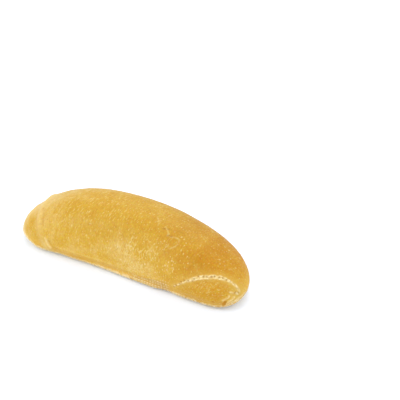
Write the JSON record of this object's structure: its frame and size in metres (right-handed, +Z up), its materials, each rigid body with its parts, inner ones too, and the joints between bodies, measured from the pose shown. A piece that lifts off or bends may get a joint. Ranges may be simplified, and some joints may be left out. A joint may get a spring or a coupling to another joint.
{
  "type": "oil bread roll",
  "caption": "Long soft bread roll of rolled-up dough on a flat base, with a curved seam lip round its blunt end and a creased cap at its nosed end.",
  "frame": {"origin": "centre of the bounding box on the plane of the flat base", "axes": "+X along the roll to its blunt end, +Y to the bowed back, +Z up"},
  "size_m": [0.1462, 0.0476, 0.0355],
  "materials": {
    "crust": "satin golden crust, lightly oiled"
  },
  "bodies": {
    "root": {"roll": "crust"}
  },
  "joints": []
}
